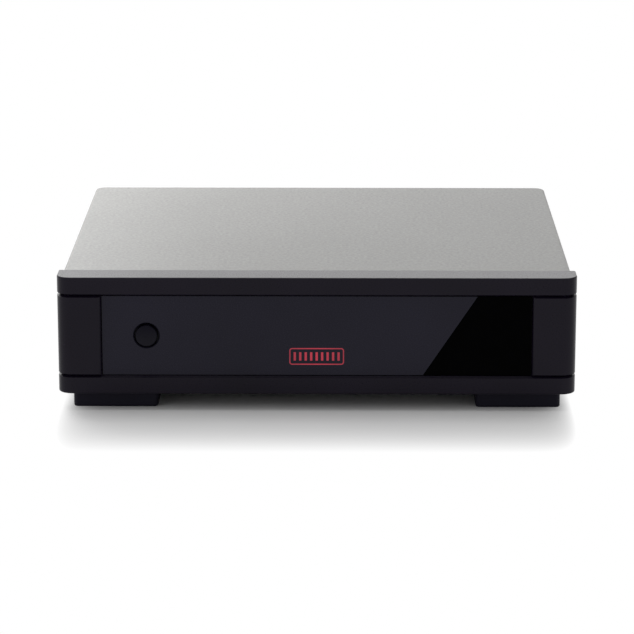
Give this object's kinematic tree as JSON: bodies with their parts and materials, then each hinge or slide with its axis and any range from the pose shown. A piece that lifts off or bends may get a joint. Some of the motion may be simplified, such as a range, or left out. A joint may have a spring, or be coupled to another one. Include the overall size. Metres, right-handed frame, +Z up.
{
  "type": "phono preamplifier",
  "caption": "Compact free-standing phono preamplifier: flat metal case, black front moulding with a sprung power button and lit marks, rear phono sockets, earth post and power inlet.",
  "frame": {"origin": "under the middle of the overall box, on the plane the feet stand on", "axes": "+Z up, front panel faces -Y, +X to the right as seen from the front"},
  "size_m": [0.18, 0.1632, 0.0475],
  "materials": {
    "fascia_plastic": "satin black moulded ABS",
    "panel_acrylic": "smoked acrylic, soft satin face",
    "gloss_black": "polished black acrylic",
    "mark_red": "translucent red, lit from behind",
    "clear_acrylic": "clear acrylic light guide",
    "lamp_red": "tinted epoxy lamp",
    "button_plastic": "satin black moulded button",
    "switch_plastic": "black switch and relay plastic",
    "white_plastic": "white moulded plastic",
    "red_plastic": "red moulded plastic",
    "spring_steel": "bright spring wire",
    "cover_coat": "fine-textured grey coating on sheet metal",
    "tray_coat": "black powder-coated sheet steel",
    "screw_black": "black-finished steel screws",
    "screw_zinc": "zinc-plated steel",
    "foot_plastic": "black moulded feet",
    "brass": "turned brass",
    "gold_plate": "gold-plated contact",
    "nickel": "bright nickel plating",
    "board_green": "glass-epoxy circuit board with green resist",
    "socket_black": "black moulded socket body",
    "wire_jacket": "green wire jacket",
    "can_sleeve": "printed capacitor sleeve, plain",
    "film_yellow": "epoxy-filled film capacitor box",
    "resistor_blue": "lacquered metal-film resistor",
    "semiconductor": "black moulding compound",
    "heat_sink": "black anodised extrusion",
    "fuse_glass": "glass fuse",
    "choke_wire": "enamelled copper winding on ferrite"
  },
  "bodies": {
    "case": {"front_fascia": "fascia_plastic", "front_panel": "panel_acrylic", "gloss_inlay": "gloss_black", "indicator_marks": "mark_red", "light_guide": "clear_acrylic", "indicator_led": "lamp_red", "front_board": "board_green", "front_board_screws": "screw_zinc", "switch_body": "switch_plastic", "button_spring": "spring_steel", "top_cover": "cover_coat", "cover_screws": "screw_black", "base_tray": "tray_coat", "fascia_screws": "screw_zinc", "rear_panel": "tray_coat", "rear_panel_screws": "screw_black", "front_left_foot": "foot_plastic", "front_right_foot": "foot_plastic", "rear_left_foot": "foot_plastic", "rear_right_foot": "foot_plastic", "foot_screws": "screw_zinc", "board_standoffs": "brass", "main_board": "board_green", "board_screws": "screw_zinc", "link_socket": "socket_black", "link_pins": "gold_plate", "input_socket_block": "socket_black", "output_socket_block": "socket_black", "input_sleeves": "gold_plate", "output_sleeves": "gold_plate", "centre_contacts": "gold_plate", "left_insulators": "white_plastic", "right_insulators": "red_plastic", "socket_block_screws": "screw_black", "power_inlet_body": "socket_black", "power_inlet_pin": "nickel", "earth_stud": "nickel", "earth_lock_nut": "nickel", "earth_terminal": "nickel", "earth_wire": "wire_jacket", "reservoir_capacitors": "can_sleeve", "small_electrolytics": "can_sleeve", "rectifier_diodes": "semiconductor", "resistors": "resistor_blue", "film_capacitors": "film_yellow", "supply_chokes": "choke_wire", "fuse": "fuse_glass", "fuse_clips": "nickel", "heat_sinks": "heat_sink", "voltage_regulators": "semiconductor", "mute_relay": "white_plastic", "input_transistors": "semiconductor", "amplifier_chips": "semiconductor"},
    "button": {"power_button": "button_plastic", "button_rod": "button_plastic", "switch_plunger": "white_plastic"},
    "earth_clamp": {"earth_washer": "nickel"},
    "earth_nut": {"earth_thumb_nut": "nickel"}
  },
  "joints": [
    {"name": "button_press", "type": "slide", "parent": "case", "child": "button", "axis": [0, 1, 0], "range_m": [0, 0.0015], "stiffness_N_per_m": 600, "deforming": ["button_spring"]},
    {"name": "earth_clamp_travel", "type": "slide", "parent": "case", "child": "earth_clamp", "axis": [0, 1, 0], "range_m": [0, 0.0021]},
    {"name": "earth_nut_turn", "type": "hinge", "parent": "earth_clamp", "child": "earth_nut", "pos_m": [0.033, 0.0744, 0.0246], "axis": [0, 1, 0], "range_deg": [0, 1080]}
  ],
  "couplings": [
    {"joint": "earth_nut_turn", "follows": "earth_clamp_travel", "rad_per_m": 8976}
  ]
}
